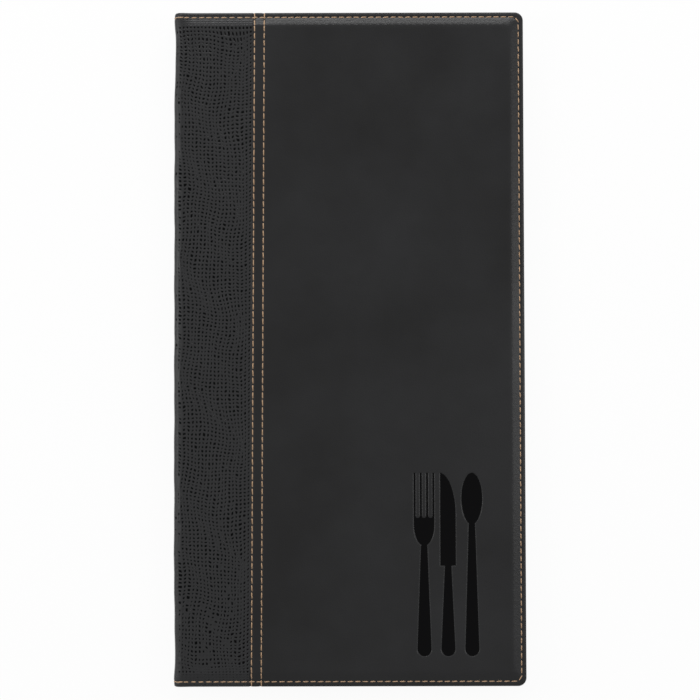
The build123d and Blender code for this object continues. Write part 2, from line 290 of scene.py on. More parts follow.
# Brings a piece to metres, smooths it and gives it its finishes.
def finishPiece(piece, slotName, *materials):
    activate(piece)
    piece.data.transform(Matrix.Scale(mm, 4))
    bpy.ops.object.shade_smooth_by_angle(angle=math.radians(50))
    for material in materials:
        piece.data.materials.append(material)


# Materials


def newMaterial(name, colour, roughness, specular=0.5):
    material = bpy.data.materials.new(name)
    material.use_nodes = True
    shader = material.node_tree.nodes["Principled BSDF"]
    shader.inputs["Base Color"].default_value = (*colour, 1)
    shader.inputs["Roughness"].default_value = roughness
    shader.inputs["Specular IOR Level"].default_value = specular
    return material, material.node_tree, shader


# Feeds a socket with a number, a colour or another node's output.
def feed(tree, socket, value):
    if isinstance(value, bpy.types.NodeSocket):
        tree.links.new(value, socket)
    elif socket.type == "RGBA":
        socket.default_value = (*value, 1)
    else:
        socket.default_value = value


def addNode(tree, kind, inputs):
    node = tree.nodes.new("ShaderNode" + kind)
    for name, value in inputs.items():
        feed(tree, node.inputs[name], value)
    return node


# Noise on object coordinates; size is the width of its patches in millimetres.
def noiseOn(tree, size, detail=3.0, stretch=(1, 1, 1), rough=0.55):
    place = addNode(tree, "TexCoord", {}).outputs["Object"]
    stretched = addNode(tree, "Mapping", {"Vector": place, "Scale": stretch}).outputs["Vector"]
    kind = {"Scale": 1 / (size * mm), "Detail": detail, "Roughness": rough}
    return addNode(tree, "TexNoise", {"Vector": stretched, **kind}).outputs["Fac"]


def cellsOn(tree, size):
    place = addNode(tree, "TexCoord", {}).outputs["Object"]
    cells = addNode(tree, "TexVoronoi", {"Vector": place, "Scale": 1 / (size * mm)})
    return cells.outputs["Distance"]


def attributeOn(tree, name):
    node = tree.nodes.new("ShaderNodeAttribute")
    node.attribute_name = name
    return node.outputs["Fac"]


def ranged(tree, value, low, high, fromLow=0.3, fromHigh=0.7):
    span = {"From Min": fromLow, "From Max": fromHigh, "To Min": low, "To Max": high}
    return addNode(tree, "MapRange", {"Value": value, **span}).outputs["Result"]


# Mixes two colours; each may be a colour or another node's output.
def mixed(tree, share, first, second):
    node = tree.nodes.new("ShaderNodeMix")
    node.data_type = "RGBA"
    for index, value in ((0, share), (6, first), (7, second)):
        feed(tree, node.inputs[index], value)
    return node.outputs[2]


def combined(tree, operation, first, second):
    node = addNode(tree, "Math", {0: first, 1: second})
    node.operation = operation
    return node.outputs[0]


def sineOf(tree, value, turns):
    return combined(tree, "SINE", combined(tree, "MULTIPLY", value, turns), 0)


# Stacks bumps; each layer is a height and its depth in millimetres.
def addBump(tree, shader, *layers):
    before = None
    for height, depth in layers:
        bump = addNode(tree, "Bump", {"Strength": 1, "Distance": depth * mm, "Height": height})
        if before:
            tree.links.new(before, bump.inputs["Normal"])
        before = bump.outputs["Normal"]
    tree.links.new(before, shader.inputs["Normal"])


leatherettePaint = {
    "dark": (0.0010, 0.0009, 0.0011),
    "light": (0.0088, 0.0090, 0.0098),
    "specular": 0.25,
    "roughness": (0.31, 0.37),
    "mottleSize": 55.0,
    "grainSize": 0.9,
    "grainDepth": 0.035,
    "wrinkleSize": 5.5,
    "wrinkleDepth": 0.05,
}


# Smooth coated leatherette
def panelLeatherette():
    paint = leatherettePaint
    material, tree, shader = newMaterial(
        "panelLeatherette", paint["light"], paint["roughness"][0], paint["specular"]
    )
    mottle = noiseOn(tree, paint["mottleSize"], 4)
    colour = mixed(tree, ranged(tree, mottle, 0, 1), paint["dark"], paint["light"])
    feed(tree, shader.inputs["Base Color"], colour)
    cloudy = ranged(tree, noiseOn(tree, paint["mottleSize"] / 3, 3), *paint["roughness"])
    feed(tree, shader.inputs["Roughness"], cloudy)
    grain = cellsOn(tree, paint["grainSize"])
    fine = noiseOn(tree, paint["grainSize"] / 2, 2)
    wrinkles = noiseOn(tree, paint["wrinkleSize"], 5, (0.45, 1.6, 1), 0.7)
    addBump(
        tree,
        shader,
        (wrinkles, paint["wrinkleDepth"]),
        (grain, paint["grainDepth"]),
        (fine, paint["grainDepth"] / 2),
    )
    return material


glazePaint = {
    "colour": (0.0022, 0.0021, 0.0024),
    "specular": 0.04,
    "roughness": 0.22,
}


# What a hot die has pressed smooth
def pressedLeatherette():
    paint = glazePaint
    material, tree, shader = newMaterial(
        "pressedLeatherette", paint["colour"], paint["roughness"], paint["specular"]
    )
    addBump(tree, shader, (noiseOn(tree, 2.5, 3), 0.02))
    return material


lizardPaint = {
    "ridge": (0.0125, 0.0128, 0.0137),
    # colour of the scales' sloping sides at full depth: painted shade
    "pit": (0.0050, 0.0050, 0.0055),
    # colour, gloss and roughness of the sunk floors: painted shade in the pits
    "floor": (0.0012, 0.0012, 0.0014),
    "specular": 0.26,
    "floorSpecular": 0.03,
    "floorRoughness": 0.5,
    "roughness": (0.30, 0.40),
    "grainSize": 0.5,
    "grainDepth": 0.02,
}


# Embossed leatherette; a point attribute darkens the sloping sides of the scales in step with their
# depth, as painted shade in the pits.
def lizardLeatherette():
    paint = lizardPaint
    material, tree, shader = newMaterial(
        "lizardLeatherette", paint["ridge"], paint["roughness"][0], paint["specular"]
    )
    colour = mixed(tree, attributeOn(tree, "pit"), paint["ridge"], paint["pit"])
    feed(tree, shader.inputs["Base Color"], colour)
    cloudy = ranged(tree, noiseOn(tree, 14, 3), *paint["roughness"])
    feed(tree, shader.inputs["Roughness"], cloudy)
    addBump(tree, shader, (noiseOn(tree, paint["grainSize"], 3), paint["grainDepth"]))
    return material


# Sunk floors of the scales, near black with little gloss: painted shade in the pits
def paintedShadeScaleFloors():
    paint = lizardPaint
    material, tree, shader = newMaterial(
        "paintedShadeScaleFloors", paint["floor"], paint["floorRoughness"], paint["floorSpecular"]
    )
    addBump(tree, shader, (noiseOn(tree, paint["grainSize"], 3), paint["grainDepth"]))
    return material


threadPaint = {
    "light": (0.57, 0.37, 0.215),
    # dark: the thread colour in painted shade, for the grooves between the plies
    "dark": (0.29, 0.175, 0.095),
    "roughness": 0.55,
}


# Twisted thread; the attribute twist runs along and round each stitch, and the grooves between the
# plies are painted darker as painted shade.
def sewingThread():
    paint = threadPaint
    material, tree, shader = newMaterial("sewingThread", paint["light"], paint["roughness"])
    ply = sineOf(tree, attributeOn(tree, "twist"), 2 * math.pi)
    colour = mixed(tree, ranged(tree, ply, 0, 1, -1, 0.4), paint["dark"], paint["light"])
    feed(tree, shader.inputs["Base Color"], colour)
    shader.inputs["Sheen Weight"].default_value = 0.3
    addBump(tree, shader, (ply, 0.05), (noiseOn(tree, 0.25, 2), 0.03))
    return material


# A dull finish with cloudy colour and a fine bump.
def plainFinish(name, first, second, roughness, patchSize, bumpSize, bumpDepth):
    material, tree, shader = newMaterial(name, first, roughness)
    patches = ranged(tree, noiseOn(tree, patchSize, 4), 0, 1)
    feed(tree, shader.inputs["Base Color"], mixed(tree, patches, first, second))
    addBump(tree, shader, (noiseOn(tree, bumpSize, 3), bumpDepth))
    return material


# Plain weave from two crossed waves, darker where the weave is low: painted shade between the
# threads.
def wovenCloth(name, dark, light, threadPitch, roughness, depth):
    material, tree, shader = newMaterial(name, dark, roughness)
    place = addNode(tree, "TexCoord", {}).outputs["Object"]
    split = addNode(tree, "SeparateXYZ", {"Vector": place})
    across = combined(tree, "ADD", split.outputs["X"], split.outputs["Z"])
    turns = 2 * math.pi / (threadPitch * mm)
    warp = sineOf(tree, across, turns)
    weft = sineOf(tree, split.outputs["Y"], turns)
    weave = combined(tree, "MULTIPLY", warp, weft)
    colour = mixed(tree, ranged(tree, weave, 0, 1, -1, 1), dark, light)
    feed(tree, shader.inputs["Base Color"], colour)
    shader.inputs["Sheen Weight"].default_value = 0.15
    addBump(tree, shader, (weave, depth), (noiseOn(tree, 0.4, 2), depth / 2))
    return material


filmAlpha = (0.045, 0.35)  # seen straight and at a slant


# Clear film, whiter and more mirror-like where it is seen at a slant.
def clearFilm():
    material, tree, shader = newMaterial("clearFilm", (0.9, 0.92, 0.94), 0.12)
    slant = addNode(tree, "LayerWeight", {"Blend": 0.25}).outputs["Facing"]
    feed(tree, shader.inputs["Alpha"], ranged(tree, slant, *filmAlpha, 0, 1))
    addBump(tree, shader, (noiseOn(tree, 30, 2), 0.15))
    return material


finishes = {
    "panel": panelLeatherette(),
    "pressed": pressedLeatherette(),
    "lizard": lizardLeatherette(),
    "paintedShadeScaleFloor": paintedShadeScaleFloors(),
    "thread": sewingThread(),
    "foam": plainFinish("paddingFoam", (0.55, 0.55, 0.53), (0.66, 0.66, 0.63), 0.95, 3, 0.4, 0.12),
    "board": plainFinish("pressedBoard", (0.37, 0.35, 0.32), (0.47, 0.45, 0.41), 0.9, 2, 0.3, 0.04),
    "cloth": wovenCloth("liningCloth", (0.02, 0.02, 0.022), (0.045, 0.045, 0.049), 0.5, 0.8, 0.03),
    "elastic": wovenCloth("wovenElastic", (0.018,) * 3, (0.05,) * 3, 0.6, 0.75, 0.06),
    "film": clearFilm(),
    "card": plainFinish("menuCard", (0.82, 0.8, 0.75), (0.85, 0.83, 0.78), 0.7, 12, 0.15, 0.008),
}
print("materials made:", len(finishes))


# Forming a flat sheet over a cover. A flat point is given by its distance in from the unrolled
# edge. Its height above the sheet is kept, so grooves, scales and thickness follow the form.


# Inset and depth of a flat point: round the edge, along the rim and up the slope to the field.
def edgeForm(inward, height, rimDepth, faceDepth, edgeRound):
    turn = np.clip((edgeRound - inward) / edgeRound, 0, math.pi)
    beyond = np.minimum(inward - (edgeRound - math.pi * edgeRound), 0)
    inset = np.where(turn > 0, edgeRound - edgeRound * np.sin(turn) - beyond, inward)
    start = cover["slopeStart"]
    ease = cover["slopeEase"]
    slope = ease * smoothStep(inward, start, fieldInset)
    slope += (1 - ease) * np.clip((inward - start) / (fieldInset - start), 0, 1)
    high, low = cover["crownInset"]
    fall = np.clip((high - inward) / (high - low), 0, 1) ** 2
    crown = cover["crown"] * fall * (1 + np.cos(turn)) / 2
    depth = rimDepth + (faceDepth - rimDepth) * slope + edgeRound * (1 - np.cos(turn)) + crown
    return inset - height * np.sin(turn), depth - height * np.cos(turn)


# Corner radius of the ring at an inset: large at the edge, fading out inside the field.
def ringRadius(inset):
    return np.interp(
        inset,
        (0, cover["rimWidth"], fieldInset, cover["cornerFade"]),
        (cover["cornerRadius"], cover["fieldCornerRadius"], cover["fieldCornerRadius"], 0.01),
    )


cornerLoss = 1 - math.pi / 4  # share of the radius that a round corner saves on each straight


# Length along a round-cornered ring for a length along the square ring, from the diagonal.
def ringRun(flatRun, radius):
    fade = cover["cornerFade"]
    return np.where(
        flatRun < fade,
        flatRun * (1 - cornerLoss * radius / fade),
        flatRun - cornerLoss * radius,
    )


# Place of a flat point on the round-cornered ring at an inset from the edge.
def ringPlace(x, y, inset):
    fromFore = foreEdge - x
    fromEnd = endInset(y)
    radius = ringRadius(inset)
    run = ringRun(np.abs(fromFore - fromEnd), radius)
    arc = math.pi / 4 * radius
    angle = math.pi / 4 - np.minimum(run, arc) / radius
    straight = np.maximum(run - arc, 0)
    near = inset + radius * (1 - np.cos(angle))  # inset from the edge that the point lies along
    far = inset + radius * (1 - np.sin(angle)) + straight
    onFore = fromFore < fromEnd
    formedX = foreEdge - np.where(onFore, near, far)
    return formedX, np.sign(y) * (headEdge - np.where(onFore, far, near))


# How far a place is shifted with the leaning seam.
def leanAt(x, y):
    beside = hump(x - lapX, cover["leanRise"], cover["leanFall"])
    return cover["seamLean"] * y / headEdge * beside


# Forms flat points over the front cover's smooth panel, round its two corners.
def ontoPanel(flat):
    x, y, height = flat.T
    x = x + leanAt(x, y)
    inset, depth = edgeForm(insetOf(x, y), height, cover["rimDrop"], 0, cover["edgeRound"])
    formedX, formedY = ringPlace(x, y, inset)
    return np.column_stack((formedX, formedY, bookTop - depth))


strip = {
    "cell": (1.9, 1.95),
    "spineStep": 1.8,  # between grid lines on the flat of the spine
    "creaseStep": 2.1,
    "hemStep": 0.6,
    "rimLines": (2.0, 3.0),  # grid lines along the stitches
    "wall": 0.2,  # ridge between two scales
    "bank": 0.28,  # sloping side of a scale
    "pitDepth": 0.29,
    "jitter": 0.33,
    "stagger": 0.3,
    "cornerCut": 0.22,  # of a scale's floor
    "edgeRound": 0.75,
    "rimDepth": 1.3,
    "flangeDepth": 0.86,
    "flangeSkive": 0.5,  # share of its thickness that the strip loses under the smooth panel
    "pinch": 0.6,  # how far the spine is drawn in beside its thick hems
    "pinchRise": (3, 13),  # insets over which that sets in
    "pinchFall": (15, 55),  # and over which it fades
    "floorSize": (0.9, 0.9, 0.8),  # of a scale's floor, and its depth, against an even one
    "floorVary": (0.2, 0.24, 0.2),
    "shadeFrom": (0.2, 0.66),  # strength from which a floor gets the painted shade, by luck between these
    "spineStrength": 0.3,  # share of their depth that the scales keep round the spine
    "endStrength": 0.45,
    "patchStrength": 0.15,  # half of what they lose in patches
    "footStrength": 0.76,
    "seed": 11,
}


# Forms flat points round the spine; x is measured from the middle of the spine's flat.
def ontoStrip(flat):
    x, y, height = flat.T
    run = np.abs(x)
    fromEnd = endInset(y)
    onCover = smoothStep(run, creaseEnd - 1.5, creaseEnd + 6)
    fieldX = creaseX + run - creaseEnd
    underLap = smoothStep(fieldX, lapX - 0.1, lapX + 0.4)
    height = height * (1 - strip["flangeSkive"] * underLap)
    drop = bookTop - stripTop
    face = drop + (strip["flangeDepth"] - drop) * underLap
    rim = drop + (strip["rimDepth"] - drop) * onCover
    inset, depth = edgeForm(fromEnd, height, rim, face, strip["edgeRound"])
    below = depth - drop
    angle = np.clip((run - spineHalf) / bendRadius, 0, math.pi / 2)
    onFlat = np.maximum(run - creaseEnd, 0) + leanAt(fieldX, y)
    radius = bendRadius - below
    formedX = creaseX - radius * np.cos(angle) + onFlat
    rise = np.minimum(run, spineHalf) + radius * np.sin(angle)
    ends = hump(fromEnd, strip["pinchRise"], strip["pinchFall"])
    nearSpine = 1 - smoothStep(formedX, spineX + 1, spineX + 9)
    ripple = 0.08 * np.sin(y / 7.3) + 0.06 * np.sin(y / 3.1 + 1)
    formedX = formedX + nearSpine * (strip["pinch"] * ends + ripple * smoothStep(fromEnd, 4, 12))
    return np.column_stack((formedX, np.sign(y) * (headEdge - inset), middleZ + np.sign(x) * rise))


# The same place on the back cover.
def mirrorToBack(points):
    return points * (1, 1, -1) + (0, 0, bookTop)


# Where the strip begins and stops bending over a crease, in metres.
def creaseEnds(toBack):
    ends = [np.array((spineX, 0, bendZ)), np.array((creaseX, 0, stripTop))]
    if toBack:
        ends = [mirrorToBack(end) for end in reversed(ends)]
    return [tuple(end * mm) for end in ends]


# Stitch runs

rimStitchRadius = ringRadius(stitching["inset"])
stitchStartX = creaseX + stitching["firstOffset"]
stitchLoss = cornerLoss * rimStitchRadius
headRun = foreEdge - stitching["inset"] - stitchStartX - stitchLoss
foreRun = headEdge - stitching["inset"] - stitchLoss
rimRun = 2 * (headRun + foreRun)
rimCount = round(rimRun / stitching["pitch"])
rimPitch = rimRun / rimCount
lapRun = 2 * (headEdge - fieldInset) - stitching["length"]
lapCount = round(lapRun / stitching["pitch"]) + 1
lapPitch = lapRun / (lapCount - 1)


# How far along the edge stitching a flat point is, from the head's spine end.
def rimDistance(x, y):
    fromFore = foreEdge - x
    fromEnd = endInset(y)
    run = ringRun(np.abs(fromFore - fromEnd), rimStitchRadius)
    fromCorner = np.where(fromFore < fromEnd, run, -run)
    return np.where(y > 0, headRun + fromCorner, rimRun - headRun - fromCorner)


# Flat point at a distance along the edge stitching.
def rimFlat(distance):
    fade = cover["cornerFade"]
    half = min(distance, rimRun - distance)
    fromCorner = half - headRun
    run = abs(fromCorner) + stitchLoss
    if run < fade:
        run = abs(fromCorner) / (1 - stitchLoss / fade)
    inset = stitching["inset"]
    alongX = foreEdge - inset - (run if fromCorner < 0 else 0)
    alongY = headEdge - inset - (run if fromCorner > 0 else 0)
    return alongX, alongY if distance < rimRun / 2 else -alongY


# Depth of the channel that a row of stitches pulls into the skin, deepest at the holes.
def threadPress(across, along, pitch):
    holes = 0.5 + 0.5 * np.cos(2 * math.pi * along / pitch)
    channel = np.exp(-((across / stitching["channelWidth"]) ** 2))
    return channel * (stitching["channelDepth"] + stitching["holeDepth"] * holes)


def rimPress(x, y):
    return threadPress(insetOf(x, y) - stitching["inset"], rimDistance(x, y), rimPitch)


# Channels of both lap rows
def lapPress(x, y):
    press = np.zeros_like(x)
    for row in stitching["lapRows"]:
        press += threadPress(x - lapX - row, y + lapPitch / 2, lapPitch)
    return press


# Cutlery pressed into the front panel, as signed distances: below 0 is inside

motif = {
    "height": 94.0,
    "spacing": 12.2,
    "fromForeEdge": 39.8,
    "fromFoot": 62.0,
    "depth": 0.35,
    "wall": 0.36,  # width of the sloping side
    "snapReach": 0.17,
    "neckRadius": 2.0,
    "endRadius": 3.9,
    "forkWidth": 11.2,
    "forkHead": 38.0,
    "tineLength": 23.0,
    "tineGap": 1.5,
    "tineSpacing": 3.2,
    "bladeWidth": 8.6,
    "bladeLength": 48.0,
    "bladeTip": 22.0,
    "spoonWidth": 11.4,
    "spoonBowl": 27.0,
}
motifX = foreEdge - motif["fromForeEdge"]
motifY = -headEdge + motif["fromFoot"]


def ellipseDistance(x, y, middleX, middleY, halfX, halfY):
    u = (x - middleX) / halfX
    v = (y - middleY) / halfY
    reach = np.sqrt(u * u + v * v) + 1e-6
    steep = np.sqrt((u / halfX) ** 2 + (v / halfY) ** 2) + 1e-6
    return reach * (reach - 1) / steep


def barDistance(x, y, left, right, foot, head):
    outX = np.maximum(left - x, x - right)
    outY = np.maximum(foot - y, y - head)
    outside = np.hypot(np.maximum(outX, 0), np.maximum(outY, 0))
    return outside + np.minimum(np.maximum(outX, outY), 0)


# Tapered handle with round ends.
def handleDistance(x, y, top):
    foot = -motif["height"] / 2 + motif["endRadius"]
    length = top - foot
    lean = (motif["endRadius"] - motif["neckRadius"]) / length
    level = math.sqrt(1 - lean * lean)
    side = np.abs(x)
    up = y - foot
    along = up * level - side * lean
    onSide = side * level + up * lean - motif["endRadius"]
    atFoot = np.hypot(side, up) - motif["endRadius"]
    atTop = np.hypot(side, up - length) - motif["neckRadius"]
    return np.where(along < 0, atFoot, np.where(along > length * level, atTop, onSide))


def forkDistance(x, y):
    top = motif["height"] / 2
    neck = top - motif["forkHead"]
    half = motif["forkWidth"] / 2
    bowl = ellipseDistance(x, y, 0, neck + motif["forkWidth"], half, motif["forkWidth"])
    tines = barDistance(x, y, -half, half, neck + motif["forkWidth"], top)
    shape = np.minimum(np.minimum(bowl, tines), handleDistance(x, y, neck))
    for n in (-1, 0, 1):
        gapFoot = top - motif["tineLength"] + motif["tineGap"] / 2
        nearest = np.maximum(gapFoot - y, 0)
        gap = np.hypot(x - n * motif["tineSpacing"], nearest) - motif["tineGap"] / 2
        shape = np.maximum(shape, -gap)
    return shape


def knifeDistance(x, y):
    top = motif["height"] / 2
    foot = top - motif["bladeLength"]
    half = motif["bladeWidth"] / 2
    tipFoot = top - motif["bladeTip"]
    tip = ellipseDistance(x, y, -half, tipFoot, motif["bladeWidth"], motif["bladeTip"])
    belly = np.where(y > tipFoot, tip, x - half)
    blade = np.maximum(np.maximum(-half - x, foot - y), belly)
    return np.minimum(blade, handleDistance(x, y, foot))


def spoonDistance(x, y):
    top = motif["height"] / 2
    half = motif["spoonBowl"] / 2
    bowl = ellipseDistance(x, y, 0, top - half, motif["spoonWidth"] / 2, half)
    return np.minimum(bowl, handleDistance(x, y, top - motif["spoonBowl"]))


def motifDistance(x, y):
    distance = np.full(x.shape, 1e3)
    for n, shape in ((-1, forkDistance), (0, knifeDistance), (1, spoonDistance)):
        place = x - motifX - n * motif["spacing"]
        distance = np.minimum(distance, shape(place, y - motifY))
    return distance


# Moves the vertices beside the motif's outline on to its upper or lower edge.
def snapToOutline(points):
    x, y, height = points.T
    wall = motif["wall"]
    distance = motifDistance(x, y)
    step = 0.02
    slopeX = (motifDistance(x + step, y) - motifDistance(x - step, y)) / (2 * step)
    slopeY = (motifDistance(x, y + step) - motifDistance(x, y - step)) / (2 * step)
    steep = np.maximum(slopeX**2 + slopeY**2, 0.3)
    target = np.where(distance > -wall / 2, 0, -wall)
    beside = (np.abs(distance - target) < motif["snapReach"]) & (height > topLevel)
    move = np.where(beside, (target - distance) / steep, 0)
    return np.column_stack((x + move * slopeX, y + move * slopeY, height))


# Smooth panels


# Flat slab for one smooth panel, finer along its stitched edges.
def panelGrid(name):
    edgeRound = cover["edgeRound"]
    hemEnd = edgeRound - math.pi * edgeRound - cover["hemLap"]
    edges = [hemEnd, edgeRound - math.pi * edgeRound, edgeRound - math.pi / 2 * edgeRound]
    edges += [edgeRound, *cover["rimLines"], cover["rimWidth"], slopeMiddle, fieldInset]
    lapLines = [lapX + offset for offset in cover["lapLines"]]
    columns = lapLines + evenly(lapLines[-1], foreEdge - edges[-1], cover["gridStep"])[1:]
    columns += [foreEdge - inward for inward in reversed(edges[:-1])]
    sheet = flatSheet(name, columns, linesAlong(edges, cover["gridStep"]))
    thicken(sheet, cover["skin"])
    return sheet


# Subdivides the top faces that lie in a region of the flat sheet.
def refine(sheet, where, cuts):
    centres = faceCentres(sheet)
    chosen = topFaces(sheet) & where(centres[:, 0], centres[:, 1])
    editFaces(sheet, chosen, lambda: bpy.ops.mesh.subdivide(number_cuts=cuts))


def nearStitches(x, y):
    return (insetOf(x, y) < fieldInset + 0.5) | (x < lapX + cover["lapLines"][-1] + 0.1)


def nearMotif(x, y):
    halfWidth = motif["spacing"] + 7.3
    halfHeight = motif["height"] / 2 + 1.5
    return (np.abs(x - motifX) < halfWidth) & (np.abs(y - motifY) < halfHeight)


# Faint unevenness of the padding under the skin, in millimetres.
def fieldSwell(x, y):
    inField = smoothStep(insetOf(x, y), fieldInset, fieldInset + 8)
    waves = np.sin(x / 9.1 + 1.3 * np.sin(y / 23)) * np.sin(y / 13.7 + 0.8 * np.sin(x / 17))
    waves = waves + 0.6 * np.sin(x / 21 + y / 34 + 2)
    return cover["swell"] * (waves + 1.6) * inField


def makePanel(name, node, body, withMotif):
    sheet = panelGrid(name)
    refine(sheet, lambda x, y: ~nearStitches(x, y), 1)
    refine(sheet, nearStitches, 3)
    if withMotif:
        refine(sheet, nearMotif, 1)
        refine(sheet, nearMotif, 2)
        setPoints(sheet, snapToOutline(getPoints(sheet)))
        middle = faceCentres(sheet)
        inMotif = motifDistance(middle[:, 0], middle[:, 1]) < -motif["wall"]
        useSecondFinish(sheet, topFaces(sheet) & inMotif)
    flat = getPoints(sheet)
    x, y, height = flat.T
    onTop = height > topLevel
    press = rimPress(x, y) + lapPress(x, y) + fieldSwell(x, y)
    press += cover["lapRound"] * np.clip(1 - (x - lapX) / cover["lapRoundRun"], 0, 1) ** 2
    if withMotif:
        press += motif["depth"] * np.clip(-motifDistance(x, y) / motif["wall"], 0, 1)
    flat[:, 2] -= np.where(onTop, press, 0)
    formed = ontoPanel(flat)
    setPoints(sheet, formed if body == "front_cover" else mirrorToBack(formed))
    if body != "front_cover":
        flipNormals(sheet)
    finishPiece(sheet, "panel_leatherette", finishes["panel"], finishes["pressed"])
    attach(sheet, body)
    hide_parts(node)
    return sheet


frontPanel = makePanel("frontPanel", "front_panel_skin", "front_cover", True)
backPanel = makePanel("backPanel", "back_panel_skin", "back_cover", False)
print("smooth panels:", len(frontPanel.data.polygons), len(backPanel.data.polygons), "faces")


# Embossed strip


# The whole strip laid flat, in cells one scale wide, with wavy rows.
def stripGrid():
    edgeRound = strip["edgeRound"]
    turned = edgeRound - math.pi * edgeRound
    edges = [turned - cover["hemLap"]] + evenly(turned, edgeRound, strip["hemStep"])
    edges += [*strip["rimLines"], cover["rimWidth"], slopeMiddle, fieldInset]
    flangeAt = stripLap + flangeX - lapX
    side = evenly(0, spineHalf, strip["spineStep"])[1:]
    side += evenly(spineHalf, creaseEnd, strip["creaseStep"])[1:]
    side += evenly(side[-1], stripLap - 0.1, strip["cell"][0])[1:] + [stripLap + 0.4, flangeAt]
    columns = bothSides(side)
    sheet = flatSheet("spineStrip", columns, linesAlong(edges, strip["cell"][1]))
    centres = faceCentres(sheet)
    spare = (np.abs(centres[:, 0]) > stripLap + 0.1) & (endInset(centres[:, 1]) < fieldInset)
    editFaces(sheet, spare, lambda: bpy.ops.mesh.delete(type="FACE"))
    flat = getPoints(sheet)
    x, y = flat.T[:2]
    fromEnd = endInset(y)
    inField = smoothStep(fromEnd, fieldInset, fieldInset + 6)
    run = np.abs(x)
    inStrip = 1 - smoothStep(run, stripLap - 3, stripLap - 1)
    waves = 0.75 * np.sin(x / 6.5 + 0.9 * np.sin(y / 15)) + 0.5 * np.sin(x / 3.9 + y / 8 + 1)
    sway = 1.3 * np.sin(y / 10.5 + 0.5 * np.sin(y / 31)) + 0.5 * np.sin(y / 4.7 + x / 7)
    sway = sway * hump(run, (6, 14), (stripLap - 11, stripLap - 1))
    spread = np.random.default_rng(strip["seed"]).uniform(-1, 1, (2, len(x))) * strip["jitter"]
    column = np.searchsorted(columns, x - 0.01)
    spread[1] += strip["stagger"] * (-1) ** column
    flat[:, 0] += (spread[0] * inStrip * (run > 0.1) + np.sign(x) * sway) * inField
    flat[:, 1] += (waves - 0.05 * x + spread[1]) * inField * inStrip
    setPoints(sheet, flat)
    return sheet


# Parts the strip along the middle of the spine into a front and a back half.
def splitAtSpine(sheet):
    editFaces(
        sheet,
        faceCentres(sheet)[:, 0] < 0,
        lambda: bpy.ops.mesh.separate(type="SELECTED"),
    )
    back = [piece for piece in bpy.context.selected_objects if piece != sheet][0]
    sheet.name = "stripFront"
    back.name = "stripBack"
    return sheet, back


def raised(least, share):
    return least + (1 - least) * share


# How strongly the scales are pressed in at flat places: faint round the spine, at the ends, in
# patches and towards the foot.
def scaleStrength(x, y):
    run = np.abs(x)
    fromEnd = endInset(y)
    fromSpine = smoothStep(run, creaseEnd - 3.5, creaseEnd + 2)
    strength = raised(strip["spineStrength"], fromSpine)
    inField = smoothStep(fromEnd, cover["rimWidth"], fieldInset + 2)
    strength = strength * raised(strip["endStrength"], inField)
    patches = np.sin(run / 3.3 + 1.6 * np.sin(y / 11)) * np.sin(y / 7.1 + 1.4 * np.sin(run / 5.2))
    strength = strength * (1 - strip["patchStrength"] * (1 - np.clip(1.6 * patches, -1, 1)))
    return strength * raised(strip["footStrength"], smoothStep(y, -headEdge, -20))


# Gives the floor of each pressed scale its own size, shape and depth.
def varyScales(half):
    flat = getPoints(half)
    polygons = half.data.polygons
    pressed = np.array([len(face.vertices) == 8 for face in polygons])  # only floors have 8 sides
    floors = np.array([face.vertices[:] for face in polygons if len(face.vertices) == 8])
    centres = faceCentres(half)
    luck = np.random.default_rng(strip["seed"] + 2).uniform(*strip["shadeFrom"], len(centres))
    # Floors pressed deeply enough take the second finish, a near-black painted shade
    useSecondFinish(half, pressed & (scaleStrength(centres[:, 0], centres[:, 1]) > luck))
    vary = np.random.default_rng(strip["seed"] + 1).uniform(-1, 1, (3, len(floors)))
    corners = flat[floors]
    middle = corners.mean(axis=1, keepdims=True)
    size = strip["floorSize"] + vary.T * strip["floorVary"]
    flat[floors] = (corners - middle) * size[:, None] + middle
    flat[floors, 2] = corners[:, :, 2] * size[:, None, 2]
    return flat


# Presses one scale into each cell of a flat half.
def emboss(half):
    x, y = faceCentres(half)[:, :2].T
    cells = topFaces(half) & (endInset(y) > strip["edgeRound"]) & (np.abs(x) < stripLap)
    editFaces(
        half,
        cells,
        lambda: bpy.ops.mesh.inset(thickness=strip["wall"], depth=0, use_individual=True),
        lambda: bpy.ops.mesh.inset(
            thickness=strip["bank"], depth=-strip["pitDepth"], use_individual=True
        ),
        lambda: bpy.ops.mesh.bevel(offset=strip["cornerCut"], segments=1, affect="VERTICES"),
    )
    flat = varyScales(half)
    x, y = flat[:, 0], flat[:, 1]
    onTop = flat[:, 2] > -strip["pitDepth"] * 1.5
    strength = scaleStrength(x, y)
    # Depth of each point as a share of the pit's depth, kept for the material as painted shade on
    # the scales' sides
    pit = np.where(onTop, -flat[:, 2] / strip["pitDepth"], 0)
    flat[:, 2] = np.where(onTop, flat[:, 2] * strength, flat[:, 2])
    channel = threadPress(endInset(y) - stitching["inset"], np.abs(x), rimPitch)
    flat[:, 2] -= np.where(onTop, channel, 0)
    storeOnPoints(half, "pit", pit * strength)
    return flat


def makeStrip():
    halves = splitAtSpine(stripGrid())
    bodies = (("spine", "front_cover"), ("back_cover", "spine"))
    nodes = ("spine_strip_front", "spine_strip_back")
    for half, pair, node in zip(halves, bodies, nodes):
        thicken(half, cover["skin"])
        setPoints(half, ontoStrip(emboss(half)))
        finishPiece(half, "lizard_leatherette", finishes["lizard"], finishes["paintedShadeScaleFloor"])
        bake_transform(half)
        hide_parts(node, "spine_strip_middle")
    return halves


stripFront, stripBack = makeStrip()
print("embossed strip:", len(stripFront.data.polygons), len(stripBack.data.polygons), "faces")


# Stitching


